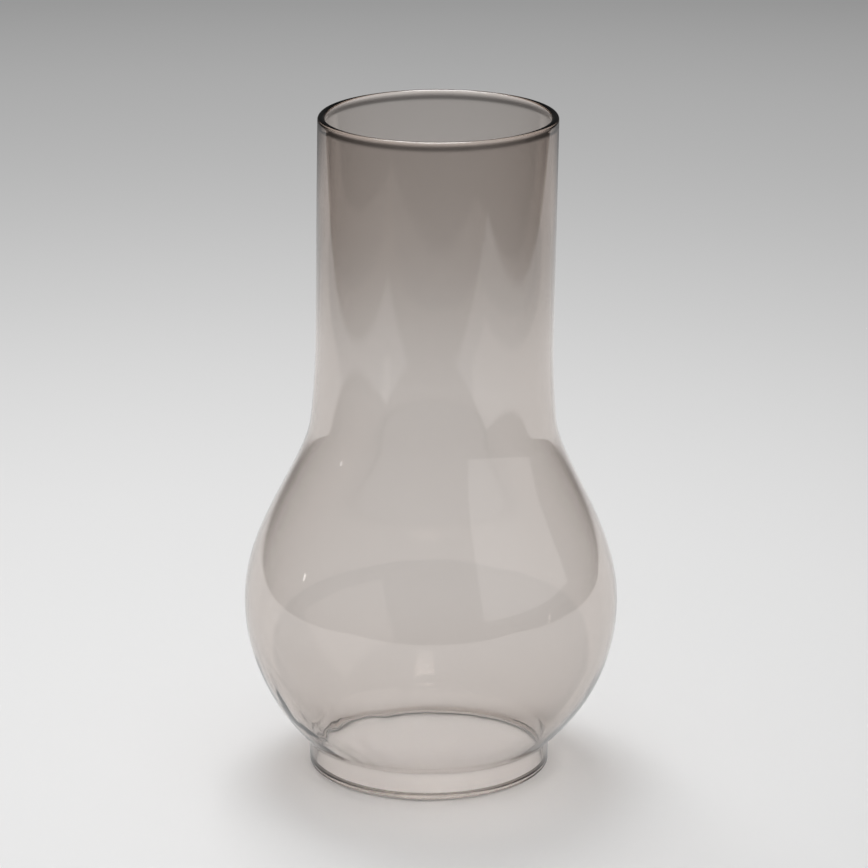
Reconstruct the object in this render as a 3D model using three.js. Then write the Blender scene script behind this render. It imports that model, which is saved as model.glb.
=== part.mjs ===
// A smoked glass chimney for an oil lamp: one blown piece of glass, open at both ends.
// From the bottom up it has a short collar, a waist, a round bulb, a sloping shoulder and
// a straight neck with a fire-polished rim. Everything is turned about the Z axis, in
// millimetres, and the foot stands on z = 0.

import * as THREE from 'three';

// Driving dimensions.
const HEIGHT = 210; // foot to rim

const COLLAR_RADIUS = 38; // outside of the collar, which drops into a 3 inch lamp gallery
const COLLAR_HEIGHT = 7.3; // straight part of the collar
const WAIST_FILLET = 3; // hollow between the collar and the bulb

const BULB_RADIUS = 58.9; // outside of the widest ring
const BELLY_ARC = 59.6; // outline of the bulb below its widest ring
const BULB_FULLNESS = 24; // how far the upper bulb keeps its width before it turns in

const SHOULDER_RISE = 59.5; // widest ring to the foot of the flare
const SHOULDER_HOLLOW = 15.5; // how sharply the shoulder turns up into the flare
const FLARE_RISE = 27.5; // height of the slight widening under the neck
const FLARE_STEP = 1.4; // how much wider the neck is at the foot of the flare

const NECK_RADIUS = 37; // outside of the straight neck

// Thickness of the glass. It is blown thin, and its two edges are fire-polished beads.
const FOOT_WALL = 2.2; // bead at the foot
const FOOT_ROUNDING = 0.8; // softened edges on both sides of the foot
const FOOT_BEAD = 2.7; // height of the bead
const COLLAR_WALL = 1.3;
const COLLAR_WALL_TOP = 12; // height where the wall starts to thin towards the bulb
const BULB_WALL = 1.0;
const BULB_WALL_FOOT = 40; // height where the wall is down to its thinnest
const BULB_WALL_TOP = 130; // height where it starts to thicken again
const NECK_WALL = 1.85;
const NECK_WALL_DEPTH = 25; // rim to where the neck has its full thickness
const RIM_WALL = 2.2; // bead at the rim
const RIM_BEAD = 3.4; // height of the bead

// How finely the round surfaces are faceted.
const FACETS = 60;
const LIP_STEPS = 6;
const EDGE_STEPS = 2;
const BEAD_STEPS = 2;
const WAIST_STEPS = 3;
const BELLY_STEPS = 7;
const SHOULDER_STEPS = 11;
const FLARE_STEPS = 3;
const NECK_STEPS = 4;

const SMOKED_GLASS = new THREE.MeshStandardMaterial({
  name: 'smoked_glass',
  color: 0x9c938d,
  roughness: 0.04,
  metalness: 0,
  transparent: true,
  opacity: 0.45,
  side: THREE.DoubleSide,
});

// The outside of the glass between the two edges, as radius and height, going up. Each
// stretch starts where the last one ends, in the same direction, and comes with the number
// of steps that it is faceted with.
function outsideStretches() {
  const bellyCentreRadius = BULB_RADIUS - BELLY_ARC;
  const waistCentreRadius = COLLAR_RADIUS + WAIST_FILLET;
  const centreDistance = BELLY_ARC + WAIST_FILLET;
  const bellyDrop = Math.sqrt(centreDistance ** 2 - (waistCentreRadius - bellyCentreRadius) ** 2);
  const bellyAngle = Math.asin(bellyDrop / centreDistance);

  const bulbHeight = COLLAR_HEIGHT + bellyDrop;
  const flareFoot = new THREE.Vector2(NECK_RADIUS + FLARE_STEP, bulbHeight + SHOULDER_RISE);
  const neckFoot = new THREE.Vector2(NECK_RADIUS, flareFoot.y + FLARE_RISE);
  const flareKnee = new THREE.Vector2(NECK_RADIUS, (flareFoot.y + neckFoot.y) / 2);
  const flareStart = flareFoot.clone().sub(flareKnee).setLength(SHOULDER_HOLLOW);

  const footBead = upright(COLLAR_RADIUS, FOOT_ROUNDING, FOOT_BEAD);
  const collar = upright(COLLAR_RADIUS, FOOT_BEAD, COLLAR_HEIGHT);
  const waist = new THREE.EllipseCurve(
    waistCentreRadius, COLLAR_HEIGHT, WAIST_FILLET, WAIST_FILLET,
    Math.PI, Math.PI - bellyAngle, true,
  );
  const belly = new THREE.EllipseCurve(
    bellyCentreRadius, bulbHeight, BELLY_ARC, BELLY_ARC, -bellyAngle, 0, false,
  );
  const shoulder = new THREE.CubicBezierCurve(
    new THREE.Vector2(BULB_RADIUS, bulbHeight),
    new THREE.Vector2(BULB_RADIUS, bulbHeight + BULB_FULLNESS),
    flareFoot.clone().add(flareStart),
    flareFoot,
  );
  const flare = new THREE.QuadraticBezierCurve(flareFoot, flareKnee, neckFoot);
  const neck = upright(NECK_RADIUS, neckFoot.y, HEIGHT - RIM_BEAD);
  const rimBead = upright(NECK_RADIUS, HEIGHT - RIM_BEAD, HEIGHT - RIM_WALL / 2);
  return [
    [footBead, BEAD_STEPS],
    [collar, 1],
    [waist, WAIST_STEPS],
    [belly, BELLY_STEPS],
    [shoulder, SHOULDER_STEPS],
    [flare, FLARE_STEPS],
    [neck, NECK_STEPS],
    [rimBead, BEAD_STEPS],
  ];
}

function upright(radius, low, high) {
  return new THREE.LineCurve(new THREE.Vector2(radius, low), new THREE.Vector2(radius, high));
}

// Thickness of the glass at a height. Between two heights of the list it changes softly.
function wallAt(height) {
  const wall = [
    [FOOT_ROUNDING, FOOT_WALL],
    [FOOT_BEAD, COLLAR_WALL],
    [COLLAR_WALL_TOP, COLLAR_WALL],
    [BULB_WALL_FOOT, BULB_WALL],
    [BULB_WALL_TOP, BULB_WALL],
    [HEIGHT - NECK_WALL_DEPTH, NECK_WALL],
    [HEIGHT - RIM_BEAD, NECK_WALL],
    [HEIGHT - RIM_WALL / 2, RIM_WALL],
  ];
  const above = wall.findIndex(([top]) => top >= height);
  if (above < 0) return RIM_WALL;
  if (above === 0) return FOOT_WALL;
  const [low, below] = wall[above - 1];
  const [high, next] = wall[above];
  return THREE.MathUtils.lerp(below, next, THREE.MathUtils.smoothstep(height, low, high));
}

// Both faces of the wall: the points outside, and those inside the thickness of the glass away.
function wallFaces() {
  const outside = [];
  const inside = [];
  for (const [curve, steps] of outsideStretches()) {
    const first = outside.length ? 1 : 0;
    for (let step = first; step <= steps; step += 1) {
      const point = curve.getPoint(step / steps);
      const along = curve.getTangent(step / steps);
      const outward = new THREE.Vector2(along.y, -along.x);
      outside.push(point);
      inside.push(point.clone().addScaledVector(outward, -wallAt(point.y)));
    }
  }
  return { outside, inside };
}

// Points of a round edge. Its ends lie on the wall's faces or on the flat of the foot.
function edgeArc(radius, height, size, from, to, steps) {
  const arc = new THREE.EllipseCurve(radius, height, size, size, from, to, false);
  return arc.getPoints(steps);
}

// The closed outline of the wall: up the outside, over the lip, down the inside and under
// the foot, which keeps a flat ring between its two softened edges.
function wallOutline() {
  const { outside, inside } = wallFaces();
  const lip = edgeArc(
    NECK_RADIUS - RIM_WALL / 2, HEIGHT - RIM_WALL / 2, RIM_WALL / 2, 0, Math.PI, LIP_STEPS,
  );
  const innerEdge = edgeArc(
    COLLAR_RADIUS - FOOT_WALL + FOOT_ROUNDING, FOOT_ROUNDING, FOOT_ROUNDING,
    Math.PI, 1.5 * Math.PI, EDGE_STEPS,
  );
  const outerEdge = edgeArc(
    COLLAR_RADIUS - FOOT_ROUNDING, FOOT_ROUNDING, FOOT_ROUNDING,
    1.5 * Math.PI, 2 * Math.PI, EDGE_STEPS,
  );
  return [
    ...outside,
    ...lip.slice(1, -1),
    ...inside.reverse(),
    ...innerEdge.slice(1),
    ...outerEdge.slice(0, -1),
    outside[0].clone(),
  ];
}

function makeChimney() {
  const geometry = new THREE.LatheGeometry(wallOutline(), FACETS);
  geometry.rotateX(Math.PI / 2);
  const mesh = new THREE.Mesh(geometry, SMOKED_GLASS);
  mesh.name = 'glass_chimney';
  return mesh;
}

const lampChimney = new THREE.Group();
lampChimney.name = 'lamp_chimney';
lampChimney.add(makeChimney());

export default lampChimney;
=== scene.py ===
# %% [markdown]
# # A smoked glass lamp chimney
#
# A lamp chimney is the glass that stands round the flame of an oil lamp. This one is a
# single blown piece, open at both ends: a short collar that drops into the lamp, a narrow
# waist, a round bulb, a sloping shoulder and a straight neck with a fire-polished rim.
# Lengths are in metres, +Z is up, and the foot stands on z = 0.

# %% Load the frame
import math

import bmesh
import bpy
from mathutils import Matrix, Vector, geometry, noise


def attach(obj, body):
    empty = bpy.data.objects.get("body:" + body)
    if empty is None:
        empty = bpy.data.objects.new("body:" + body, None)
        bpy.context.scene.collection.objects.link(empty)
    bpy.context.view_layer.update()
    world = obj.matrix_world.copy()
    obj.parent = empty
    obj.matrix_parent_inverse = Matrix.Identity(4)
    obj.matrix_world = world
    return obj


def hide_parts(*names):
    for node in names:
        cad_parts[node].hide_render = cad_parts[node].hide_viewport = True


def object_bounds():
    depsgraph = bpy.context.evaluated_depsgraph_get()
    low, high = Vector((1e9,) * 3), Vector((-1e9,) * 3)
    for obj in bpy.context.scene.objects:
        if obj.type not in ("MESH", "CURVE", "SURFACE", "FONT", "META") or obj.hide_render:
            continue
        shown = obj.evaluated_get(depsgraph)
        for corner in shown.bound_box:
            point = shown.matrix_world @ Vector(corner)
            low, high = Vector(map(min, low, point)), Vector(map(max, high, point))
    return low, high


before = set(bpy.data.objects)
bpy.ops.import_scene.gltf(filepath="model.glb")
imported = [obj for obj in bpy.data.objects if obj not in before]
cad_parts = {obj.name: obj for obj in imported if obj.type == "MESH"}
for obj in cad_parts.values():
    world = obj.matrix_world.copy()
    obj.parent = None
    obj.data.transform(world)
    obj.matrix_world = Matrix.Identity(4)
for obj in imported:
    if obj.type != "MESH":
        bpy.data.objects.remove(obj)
cad_low, cad_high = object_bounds()
print("nodes:", sorted(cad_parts), "box:", list(cad_low), list(cad_high))

# %% [markdown]
# ## The outside of the glass
#
# A round object is easiest to make from its outline: a curve of radius against height that
# is then spun about the axis. The curve could be traced by eye with many points, but arcs
# and Bezier curves need only a few sizes, and they stay smooth however finely they are cut.

# %% Helpers for a curve in the plane of radius and height
def arc(centre, radius, start, end, steps, height=None):
    """Points on a circle, or on an ellipse of another height, from one angle to another."""
    angles = [start + (end - start) * k / steps for k in range(steps + 1)]
    tall = height or radius
    return [centre + Vector((radius * math.cos(a), tall * math.sin(a))) for a in angles]


def line(start, end, steps):
    """Evenly spaced points from start to end."""
    return [start.lerp(end, k / steps) for k in range(steps + 1)]


def bezier(start, handle, other_handle, end, steps):
    """Points on a cubic Bezier curve from start to end."""
    points = geometry.interpolate_bezier(start, handle, other_handle, end, steps + 1)
    return [p.to_2d() for p in points]


def soft_bend(start, knee, end, steps):
    """Points on a curve that leaves start and reaches end along the lines to the knee."""
    return bezier(start, start.lerp(knee, 2 / 3), end.lerp(knee, 2 / 3), end, steps)


print("top of a half circle:", list(arc(Vector((0, 0)), 1, 0, math.pi, 2)[1]))

# %% Sizes of the chimney
HEIGHT = cad_high.z
BULB_RADIUS = cad_high.x
COLLAR_RADIUS = 0.038
COLLAR_HEIGHT = 0.0073
WAIST_FILLET = 0.003
BELLY_ARC = 0.0596
BULB_FULLNESS = 0.024
SHOULDER_RISE = 0.0595
SHOULDER_HOLLOW = 0.0155
FLARE_RISE = 0.0275
FLARE_STEP = 0.0014
NECK_RADIUS = 0.037
FOOT_END = 0.0009
RIM_END = 0.0011
RIM_STRETCH = 0.005
print("tall and wide in mm:", round(HEIGHT * 1000, 1), round(BULB_RADIUS * 2000, 1))


# %% The outside, from the foot's edge to the lip
COLLAR_STEPS = 16
WAIST_STEPS = 8
BELLY_STEPS = 36
SHOULDER_STEPS = 50
FLARE_STEPS = 16
NECK_STEPS = 24
RIM_STEPS = 12


def outside_curve():
    belly_centre = BULB_RADIUS - BELLY_ARC
    waist_centre = COLLAR_RADIUS + WAIST_FILLET
    reach = BELLY_ARC + WAIST_FILLET
    belly_drop = math.sqrt(reach**2 - (waist_centre - belly_centre) ** 2)
    tilt = math.asin(belly_drop / reach)
    bulb_z = COLLAR_HEIGHT + belly_drop

    foot = Vector((COLLAR_RADIUS, FOOT_END))
    collar_top = Vector((COLLAR_RADIUS, COLLAR_HEIGHT))
    waist_middle = Vector((waist_centre, COLLAR_HEIGHT))
    belly_middle = Vector((belly_centre, bulb_z))
    widest = Vector((BULB_RADIUS, bulb_z))
    fullness = widest + Vector((0, BULB_FULLNESS))
    flare_foot = Vector((NECK_RADIUS + FLARE_STEP, bulb_z + SHOULDER_RISE))
    neck_foot = Vector((NECK_RADIUS, flare_foot.y + FLARE_RISE))
    flare_knee = Vector((NECK_RADIUS, (flare_foot.y + neck_foot.y) / 2))
    into_flare = flare_foot + (flare_foot - flare_knee).normalized() * SHOULDER_HOLLOW
    rim_foot = Vector((NECK_RADIUS, HEIGHT - RIM_STRETCH))
    lip = Vector((NECK_RADIUS, HEIGHT - RIM_END))

    stretches = [
        line(foot, collar_top, COLLAR_STEPS),
        arc(waist_middle, WAIST_FILLET, math.pi, math.pi - tilt, WAIST_STEPS),
        arc(belly_middle, BELLY_ARC, -tilt, 0, BELLY_STEPS),
        bezier(widest, fullness, into_flare, flare_foot, SHOULDER_STEPS),
        soft_bend(flare_foot, flare_knee, neck_foot, FLARE_STEPS),
        line(neck_foot, rim_foot, NECK_STEPS),
        line(rim_foot, lip, RIM_STEPS),
    ]
    points = stretches[0]
    for stretch in stretches[1:]:
        points += stretch[1:]
    return points


outside = outside_curve()
print("points up the outside:", len(outside))

# %% [markdown]
# ## The thickness of the glass
#
# A blown wall isn't even. The bulb was blown out furthest, so it is thinnest, the neck and
# the collar kept more glass, and both edges were melted in a flame until they drew up into
# round beads. A Solidify modifier would give one thickness everywhere. Here the inside is
# the outside moved in by a thickness that depends on the height, and since light is
# bent and coloured by every bit of glass it crosses, the difference shows.

# %% Thickness at each height, as pairs of height and thickness
WALL = (
    (0.0009, 0.0022), (0.0027, 0.0013), (0.012, 0.0013), (0.04, 0.0010), (0.13, 0.0010),
    (0.185, 0.00185), (0.2066, 0.00185), (0.2089, 0.0022),
)


def smooth_step(value, low, high):
    """0 below low, 1 above high, and a soft S between them."""
    t = min(max((value - low) / (high - low), 0), 1)
    return t * t * (3 - 2 * t)


def wall_at(z):
    """Thickness of the wall at a height, changing softly between the heights of WALL."""
    for (low, below), (high, above) in zip(WALL, WALL[1:]):
        if z < high:
            return below + (above - below) * smooth_step(z, low, high)
    return above


BULB_Z = 0.07
NECK_Z = 0.19
print("glass in mm, bulb and neck:", wall_at(BULB_Z) * 1000, wall_at(NECK_Z) * 1000)


# %% The inside, and the closed outline of the wall
EDGE_STEPS = 18


def inside_curve(points):
    """The same curve moved towards the axis by the wall, square to itself."""
    moved = []
    for k, point in enumerate(points):
        before = points[max(k - 1, 0)]
        after = points[min(k + 1, len(points) - 1)]
        along = (after - before).normalized()
        moved.append(point + wall_at(point.y) * Vector((-along.y, along.x)))
    return moved


def wall_outline():
    inside = inside_curve(outside)
    rim = (outside[-1].x - inside[-1].x) / 2
    foot = (outside[0].x - inside[0].x) / 2
    lip_centre = outside[-1] - Vector((rim, 0))
    sole_centre = outside[0] - Vector((foot, 0))
    lip = arc(lip_centre, rim, 0, math.pi, EDGE_STEPS, RIM_END)
    sole = arc(sole_centre, foot, math.pi, 2 * math.pi, EDGE_STEPS, FOOT_END)
    return [*outside, *lip[1:-1], *reversed(inside), *sole[1:-1]]


outline = wall_outline()
print("points round the wall:", len(outline))

# %% [markdown]
# ## Spinning the wall
#
# The outline becomes a ring of vertices and edges, and one full spin about Z turns it into
# the glass, with both faces of the wall, the lip and the foot in one closed mesh. Light
# only bends as it does in real glass where the wall is closed like this.

# %% Spin the outline
TURNS = 240
SAME_PLACE = 1e-6


def spun_wall(points):
    bm = bmesh.new()
    ring = [bm.verts.new((p.x, 0, p.y)) for p in points]
    edges = [bm.edges.new((ring[k - 1], ring[k])) for k in range(len(ring))]
    bmesh.ops.spin(
        bm, geom=ring + edges, cent=(0, 0, 0), axis=(0, 0, 1), dvec=(0, 0, 0),
        angle=2 * math.pi, steps=TURNS, use_merge=True, use_duplicate=False,
    )
    bmesh.ops.remove_doubles(bm, verts=bm.verts, dist=SAME_PLACE)
    bmesh.ops.recalc_face_normals(bm, faces=bm.faces)
    bm.normal_update()
    return bm


wall = spun_wall(outline)
print("faces:", len(wall.faces), "volume in cm3:", round(wall.calc_volume() * 1e6, 1))

# %% [markdown]
# ## The hand of the blower
#
# Blown glass is never quite true. The neck of this one leans a little, and the wall has
# faint waves that bend what is seen through it, most of all on one side of the waist, where
# the glass was pinched in while it was soft. Both are moves of the vertices: about a tenth
# of a millimetre for the waves, and three millimetres at the rim for the lean. A bump map
# could fake the waves, but it would not carry to a printed copy.

# %% Waves
WAVE = 0.00009
WAVE_SCALE = Vector((45, 45, 14))
PINCH = 0.00016
PINCH_SCALE = Vector((260, 260, 60))
PINCH_SEED = Vector((7, 3, 11))
PINCH_SIDE = Vector((-0.95, -0.3, 0))
PINCH_NEAR = 0.012
PINCH_FULL = 0.036
PINCH_Z = 0.022
PINCH_SPREAD = 0.014


def wave_at(co):
    """How far both faces of the wall stand out at a point."""
    return WAVE * noise.noise(co * WAVE_SCALE)


def pinch_at(co):
    """How far the inner face alone stands out, on one side of the waist."""
    near = math.exp(-(((co.z - PINCH_Z) / PINCH_SPREAD) ** 2))
    on_side = smooth_step(co.dot(PINCH_SIDE), PINCH_NEAR, PINCH_FULL)
    return PINCH * near * on_side * noise.noise(co * PINCH_SCALE + PINCH_SEED)


def wave_wall(bm):
    for vert in bm.verts:
        if vert.co.z > FOOT_END:
            outward = Vector((vert.co.x, vert.co.y, 0)).normalized()
            on_inside = vert.normal.dot(outward) < 0
            vert.co += outward * (wave_at(vert.co) + on_inside * pinch_at(vert.co))


wave_wall(wall)
print("volume after the waves in cm3:", round(wall.calc_volume() * 1e6, 1))

# %% Lean
WAIST_SHIFT = 0.00065
WAIST_LOW = 0.004
WAIST_HIGH = 0.030
NECK_SHIFT = 0.0023
LEAN_START = 0.07


def lean_at(z):
    """How far the axis stands to the right: a step at the waist, then a slow lean."""
    lean = max(z - LEAN_START, 0) / (HEIGHT - LEAN_START)
    return WAIST_SHIFT * smooth_step(z, WAIST_LOW, WAIST_HIGH) + NECK_SHIFT * lean


for vert in wall.verts:
    vert.co.x += lean_at(vert.co.z)
print("the rim stands to the right by, in mm:", round(lean_at(HEIGHT) * 1000, 2))

# %% The finished piece
mesh = bpy.data.meshes.new("smoked_chimney")
wall.to_mesh(mesh)
wall.free()
mesh.shade_smooth()
chimney = bpy.data.objects.new("smoked_chimney", mesh)
bpy.context.scene.collection.objects.link(chimney)
print("triangles:", sum(len(p.vertices) - 2 for p in mesh.polygons))

# %% [markdown]
# ## Smoked glass
#
# Smoked glass has its colour all through it: a little metal oxide is melted in, so a wall
# that is looked straight through is pale, and one seen along its length is nearly black. A
# tinted surface would be the same everywhere, so here the surface is clear, and the colour
# is a Volume Absorption inside the closed wall, which takes more light the longer the path.
# Blowing also draws the surface out into faint upright streaks. They are a noise stretched
# along Z, in a bump so shallow that only the reflections show it.

# %% Streaks in the surface
STREAK_SCALE = 160
STREAK_DRAW = 0.06
STREAK_DETAIL = 3
STREAK_DEPTH = 0.00002


def streaked_normal(nodes, links):
    place = nodes.new("ShaderNodeTexCoord")
    drawn_out = nodes.new("ShaderNodeMapping")
    drawn_out.inputs["Scale"].default_value = (1, 1, STREAK_DRAW)
    links.new(place.outputs["Object"], drawn_out.inputs["Vector"])
    streaks = nodes.new("ShaderNodeTexNoise")
    streaks.inputs["Scale"].default_value = STREAK_SCALE
    streaks.inputs["Detail"].default_value = STREAK_DETAIL
    links.new(drawn_out.outputs[0], streaks.inputs["Vector"])
    ripple = nodes.new("ShaderNodeBump")
    ripple.inputs["Strength"].default_value = 1.0
    ripple.inputs["Distance"].default_value = STREAK_DEPTH
    links.new(streaks.outputs["Fac"], ripple.inputs["Height"])
    return ripple.outputs[0]


print("streaks about", round(1000 / STREAK_SCALE, 1), "mm apart")

# %% The glass
GLASS_IOR = 1.52
SMOKE = (0.43, 0.285, 0.18, 1)
SMOKE_DENSITY = 250


def smoked_glass():
    material = bpy.data.materials.new("smoked_glass")
    material.use_nodes = True
    nodes = material.node_tree.nodes
    links = material.node_tree.links
    surface = nodes["Principled BSDF"]
    surface.inputs["Base Color"].default_value = (1, 1, 1, 1)
    surface.inputs["Roughness"].default_value = 0.0
    surface.inputs["IOR"].default_value = GLASS_IOR
    surface.inputs["Transmission Weight"].default_value = 1.0
    links.new(streaked_normal(nodes, links), surface.inputs["Normal"])
    tint = nodes.new("ShaderNodeVolumeAbsorption")
    tint.inputs["Color"].default_value = SMOKE
    tint.inputs["Density"].default_value = SMOKE_DENSITY
    links.new(tint.outputs[0], nodes["Material Output"].inputs["Volume"])
    return material


mesh.materials.append(smoked_glass())
through = [round(math.exp(-SMOKE_DENSITY * (1 - c) * wall_at(BULB_Z)), 2) for c in SMOKE[:3]]
print("light that one bulb wall lets through:", through)

# %% The piece and the frame
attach(chimney, "root")
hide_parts("glass_chimney")
print(chimney.name, "replaces glass_chimney")

# %% [markdown]
# ## What the glass shows
#
# Glass has hardly a look of its own. It shows what stands behind it, bent, and what stands
# round it, mirrored in both faces of its wall. In a plain white room those two are the same,
# and the glass melts away. A studio keeps them apart: the paper behind is pale, and what is
# mirrored is a lit table with a dark room beyond it, and a soft panel on the right. A ray
# that has been mirrored in the glass has a Glossy Depth of one or more, so the floor, the
# panels and the world can each give such a ray its own answer.

# %% Helpers for nodes
def math_node(nodes, operation, *values):
    """A Math node's result. A value is a number or another node's output."""
    node = nodes.new("ShaderNodeMath")
    node.operation = operation
    for socket, value in zip(node.inputs, values):
        if isinstance(value, bpy.types.NodeSocket):
            node.id_data.links.new(value, socket)
        else:
            socket.default_value = value
    return node.outputs[0]


def ramp_between(nodes, value, low, high):
    """0 where value is at low, 1 at high."""
    node = nodes.new("ShaderNodeMapRange")
    node.interpolation_type = "SMOOTHSTEP"
    node.id_data.links.new(value, node.inputs["Value"])
    node.inputs["From Min"].default_value = low
    node.inputs["From Max"].default_value = high
    return node.outputs["Result"]


def mirrored(nodes):
    """1 where something is seen by reflection in the glass."""
    path = nodes.new("ShaderNodeLightPath")
    return math_node(nodes, "GREATER_THAN", path.outputs["Glossy Depth"], 0.5)


def mix_where_mirrored(nodes, plain, reflected):
    """A shader that is plain to look at and another one in the glass."""
    mix = nodes.new("ShaderNodeMixShader")
    links = mix.id_data.links
    links.new(mirrored(nodes), mix.inputs["Fac"])
    links.new(plain.outputs[0], mix.inputs[1])
    links.new(reflected.outputs[0], mix.inputs[2])
    links.new(mix.outputs[0], nodes["Material Output"].inputs["Surface"])


def stage_material(name):
    """An empty material for the studio, which casts no light of its own on the object."""
    material = bpy.data.materials.new(name)
    material.use_nodes = True
    material.cycles.emission_sampling = "NONE"
    material.node_tree.nodes.remove(material.node_tree.nodes["Principled BSDF"])
    return material


print("the floor, the panels and the world ask for the Glossy Depth")

# %% [markdown]
# ## The paper
#
# The chimney stands on a sweep of pale paper, which is brightest where the light pools round
# the glass and grows darker towards the back. Lamps with a narrow beam could make that pool,
# but they would also light the glass unevenly. A ramp of greys over the distance from the
# middle of the pool does the same in the paper's colour.

# %% The pool of light on the paper
PAPER = 0.87
FAR_PAPER = 0.15
POOL_MIDDLE = (-0.1, -0.12, 0)
POOL_REACH = 3.5
POOL = (
    (0.2, 0.815), (0.38, 0.74), (0.52, 0.67), (0.67, 0.58), (0.84, 0.50),
    (1.02, 0.455), (1.17, 0.445), (1.4, 0.37), (1.8, 0.27), (2.4, 0.19),
)


def grey(level):
    return (level, level, level, 1)


def pool_of_light(nodes, position):
    """The paper's colour from the distance to the middle of the pool."""
    far = nodes.new("ShaderNodeVectorMath")
    far.operation = "DISTANCE"
    far.id_data.links.new(position, far.inputs[0])
    far.inputs[1].default_value = POOL_MIDDLE
    pool = nodes.new("ShaderNodeValToRGB")
    share = math_node(nodes, "DIVIDE", far.outputs["Value"], POOL_REACH)
    pool.id_data.links.new(share, pool.inputs[0])
    pool.color_ramp.interpolation = "B_SPLINE"
    first, last = pool.color_ramp.elements
    first.color = grey(PAPER)
    last.position = 1
    last.color = grey(FAR_PAPER)
    for at, level in POOL:
        pool.color_ramp.elements.new(at / POOL_REACH).color = grey(level)
    return pool.outputs["Color"]


print("greys in the pool:", len(POOL) + 2)

# %% [markdown]
# ## The table in the glass
#
# Where the wall turns away from the eye, the glass mirrors the table, and this is what draws
# its outline: bright from the foot up, and dark where the table ends. The mirrored table
# could be lit paper too, but a mirrored ray finds the dark room wherever it looks for
# daylight, so the paper would come out too dark. It is given a brightness of its own
# instead. Close round the foot it is duller, in the shade of the glass.

# %% The mirrored table
TABLE_LEFT = -0.56
TABLE_RIGHT = 0.585
TABLE_FRONT = -0.47
TABLE_EDGE = 0.03
LEFT_SKEW = 0.2
RIGHT_SKEW = -0.1
TABLE_GLOW = 0.82
FAR_GLOW = 0.1
FADE_START = 0.43
FADE_END = 1.0
SHADE_GLOW = 0.46
SHADE_RADIUS = 0.038
LIT_RADIUS = 0.055


def on_table(nodes, x, y):
    """1 on the table, 0 past its left, right and front edges."""
    left = math_node(nodes, "MULTIPLY_ADD", y, LEFT_SKEW, x)
    right = math_node(nodes, "MULTIPLY_ADD", y, RIGHT_SKEW, x)
    past_left = ramp_between(nodes, left, TABLE_LEFT - TABLE_EDGE, TABLE_LEFT)
    past_right = ramp_between(nodes, right, TABLE_RIGHT + TABLE_EDGE, TABLE_RIGHT)
    past_front = ramp_between(nodes, y, TABLE_FRONT - TABLE_EDGE, TABLE_FRONT)
    across = math_node(nodes, "MULTIPLY", past_left, past_right)
    return math_node(nodes, "MULTIPLY", across, past_front)


def table_glow(nodes, position, y):
    """How bright the mirrored table is: dull under the bulb, and fading to the back."""
    under = nodes.new("ShaderNodeVectorMath")
    under.operation = "LENGTH"
    under.id_data.links.new(position, under.inputs[0])
    lit = ramp_between(nodes, under.outputs["Value"], SHADE_RADIUS, LIT_RADIUS)
    dim = ramp_between(nodes, y, FADE_START, FADE_END)
    open_glow = math_node(nodes, "MULTIPLY_ADD", dim, FAR_GLOW - TABLE_GLOW, TABLE_GLOW)
    gain = math_node(nodes, "SUBTRACT", open_glow, SHADE_GLOW)
    return math_node(nodes, "MULTIPLY_ADD", lit, gain, SHADE_GLOW)


print("table in the glass, wide in m:", round(TABLE_RIGHT - TABLE_LEFT, 2))

# %% Lay the floor
FLOOR_SIZE = 12
FLOOR_DEPTH = 0.0002


def floor_material():
    material = stage_material("pale_sweep")
    nodes = material.node_tree.nodes
    links = material.node_tree.links
    place = nodes.new("ShaderNodeTexCoord")
    position = place.outputs["Object"]
    axes = nodes.new("ShaderNodeSeparateXYZ")
    links.new(position, axes.inputs[0])
    x, y = axes.outputs["X"], axes.outputs["Y"]
    paper = nodes.new("ShaderNodeBsdfDiffuse")
    links.new(pool_of_light(nodes, position), paper.inputs["Color"])
    image = nodes.new("ShaderNodeEmission")
    glow = math_node(nodes, "MULTIPLY", on_table(nodes, x, y), table_glow(nodes, position, y))
    links.new(glow, image.inputs["Strength"])
    mix_where_mirrored(nodes, paper, image)
    return material


def add_stage(bm, name, material):
    """Turn a bmesh into an object that belongs to the studio, not to the chimney."""
    stage_mesh = bpy.data.meshes.new(name)
    bm.to_mesh(stage_mesh)
    bm.free()
    stage_mesh.materials.append(material)
    stage = bpy.data.objects.new(name, stage_mesh)
    bpy.context.scene.collection.objects.link(stage)
    print("in the studio:", name)


def make_flat(name, middle, size, material):
    """A level square, size to each side of its middle."""
    bm = bmesh.new()
    bmesh.ops.create_grid(bm, x_segments=1, y_segments=1, size=size)
    bmesh.ops.translate(bm, vec=middle, verts=bm.verts)
    add_stage(bm, name, material)


make_flat("sweep", (0, 0, -FLOOR_DEPTH), FLOOR_SIZE, floor_material())

# %% [markdown]
# ## Panels
#
# White panels stand round glass in a studio, to draw highlights on it. A wide one on the
# right makes the tall pale window on that side of the bulb, a square one overhead makes the
# soft patch low on the bulb, and a narrow one makes the small glint at the left. Large area
# lamps would do this too, but they would wash out the shadow on the paper, so these panels
# are seen in the glass only.

# %% Hang the panels
PANEL_RADIUS = 1.6
PANEL_STEPS = 24


def panel_material(radiance):
    material = stage_material("white_panel")
    nodes = material.node_tree.nodes
    glow = nodes.new("ShaderNodeEmission")
    glow.inputs["Strength"].default_value = radiance
    mix_where_mirrored(nodes, nodes.new("ShaderNodeBsdfTransparent"), glow)
    return material


def make_panel(name, start, end, low, high, radiance):
    """An upright curved panel round the object, between two angles from the front."""
    bm = bmesh.new()
    first = math.radians(start)
    x, y = PANEL_RADIUS * math.sin(first), -PANEL_RADIUS * math.cos(first)
    corners = [bm.verts.new((x, y, z)) for z in (low, high)]
    edge = bm.edges.new(corners)
    bmesh.ops.spin(
        bm, geom=corners + [edge], cent=(0, 0, 0), axis=(0, 0, 1),
        angle=math.radians(end - start), steps=PANEL_STEPS,
    )
    add_stage(bm, name, panel_material(radiance))


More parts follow.
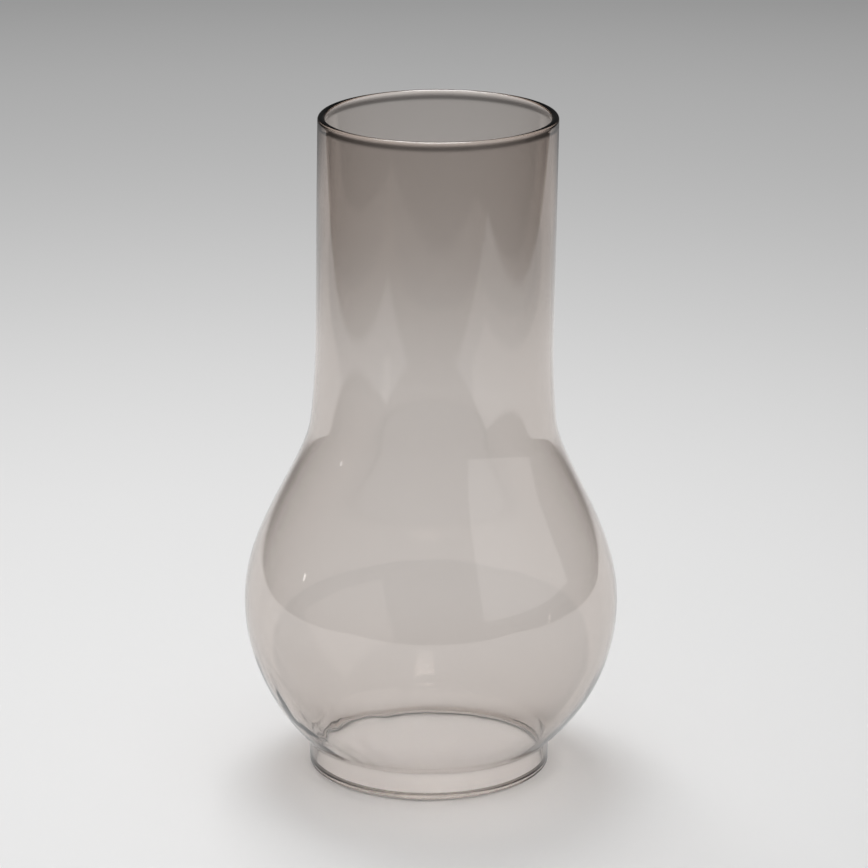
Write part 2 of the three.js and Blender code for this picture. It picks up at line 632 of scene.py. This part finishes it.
make_panel("right_panel", start=32, end=95, low=0.2, high=1.6, radiance=0.65)
make_panel("left_glint", start=-89.0, end=-87.8, low=0.33, high=0.40, radiance=6)
make_flat("overhead", middle=(0, 0, 1.3), size=0.22, material=panel_material(radiance=4))

# %% [markdown]
# ## Lamp and daylight
#
# One large softbox behind the chimney throws its shadow forward and a little to the right,
# and an even daylight from all sides fills it in. Filter Glossy, which blurs sharp light
# that has come by way of the paper, is set to 0. Above 0 it also blurs the daylight's
# straight way through the clear wall, and the shadow comes out darker than real glass's,
# which is pale and tinted.

# %% Lamp
LAMP_AIM = Vector((0, 0, 0.05))


def make_softbox(name, place, size, watts):
    lamp = bpy.data.lights.new(name, "AREA")
    lamp.shape = "RECTANGLE"
    lamp.size, lamp.size_y = size
    lamp.energy = watts
    softbox = bpy.data.objects.new(name, lamp)
    softbox.location = place
    softbox.rotation_euler = (LAMP_AIM - Vector(place)).to_track_quat("-Z", "Y").to_euler()
    softbox.visible_camera = False
    bpy.context.scene.collection.objects.link(softbox)
    print(name, "stands off by", round((LAMP_AIM - Vector(place)).length, 2), "m")


make_softbox("key", place=(-0.10, 0.52, 1.30), size=(0.6, 0.6), watts=9.0)
bpy.context.scene.cycles.blur_glossy = 0

# %% Daylight
DAYLIGHT = 0.585
ROOM = 0.05


def make_world():
    world = bpy.data.worlds.new("studio")
    world.use_nodes = True
    nodes = world.node_tree.nodes
    links = world.node_tree.links
    background = nodes["Background"]
    mix = nodes.new("ShaderNodeMix")
    mix.data_type = "FLOAT"
    links.new(mirrored(nodes), mix.inputs["Factor"])
    mix.inputs[2].default_value = DAYLIGHT
    mix.inputs[3].default_value = ROOM
    links.new(mix.outputs[0], background.inputs["Strength"])
    background.inputs["Color"].default_value = grey(1)
    world.cycles.sampling_method = "NONE"
    bpy.context.scene.world = world
    print("daylight and mirrored room:", DAYLIGHT, ROOM)


make_world()

# %% [markdown]
# ## Camera
#
# The camera stands well back with a long lens, so that the chimney is hardly drawn in
# perspective, and looks down on it enough to show the rim and the foot as ovals. A short
# lens close by would swell the bulb and shrink the foot.

# %% Camera
CAMERA_DISTANCE = 6.103 * HEIGHT
CAMERA_HEIGHT = 2.404 * HEIGHT
CAMERA_PITCH = 17.206
CAMERA_TURN = 0.072
LENS = 177.97
SENSOR = 36


def make_camera():
    data = bpy.data.cameras.new("camera")
    data.lens = LENS
    data.sensor_width = SENSOR
    camera = bpy.data.objects.new("camera", data)
    camera.location = (0, -CAMERA_DISTANCE, CAMERA_HEIGHT)
    camera.rotation_euler = (
        math.radians(90 - CAMERA_PITCH), 0, math.radians(-CAMERA_TURN),
    )
    bpy.context.scene.collection.objects.link(camera)
    bpy.context.scene.camera = camera
    print("camera stands at", [round(c, 3) for c in camera.location])


make_camera()
bpy.context.scene.view_settings.view_transform = "Standard"
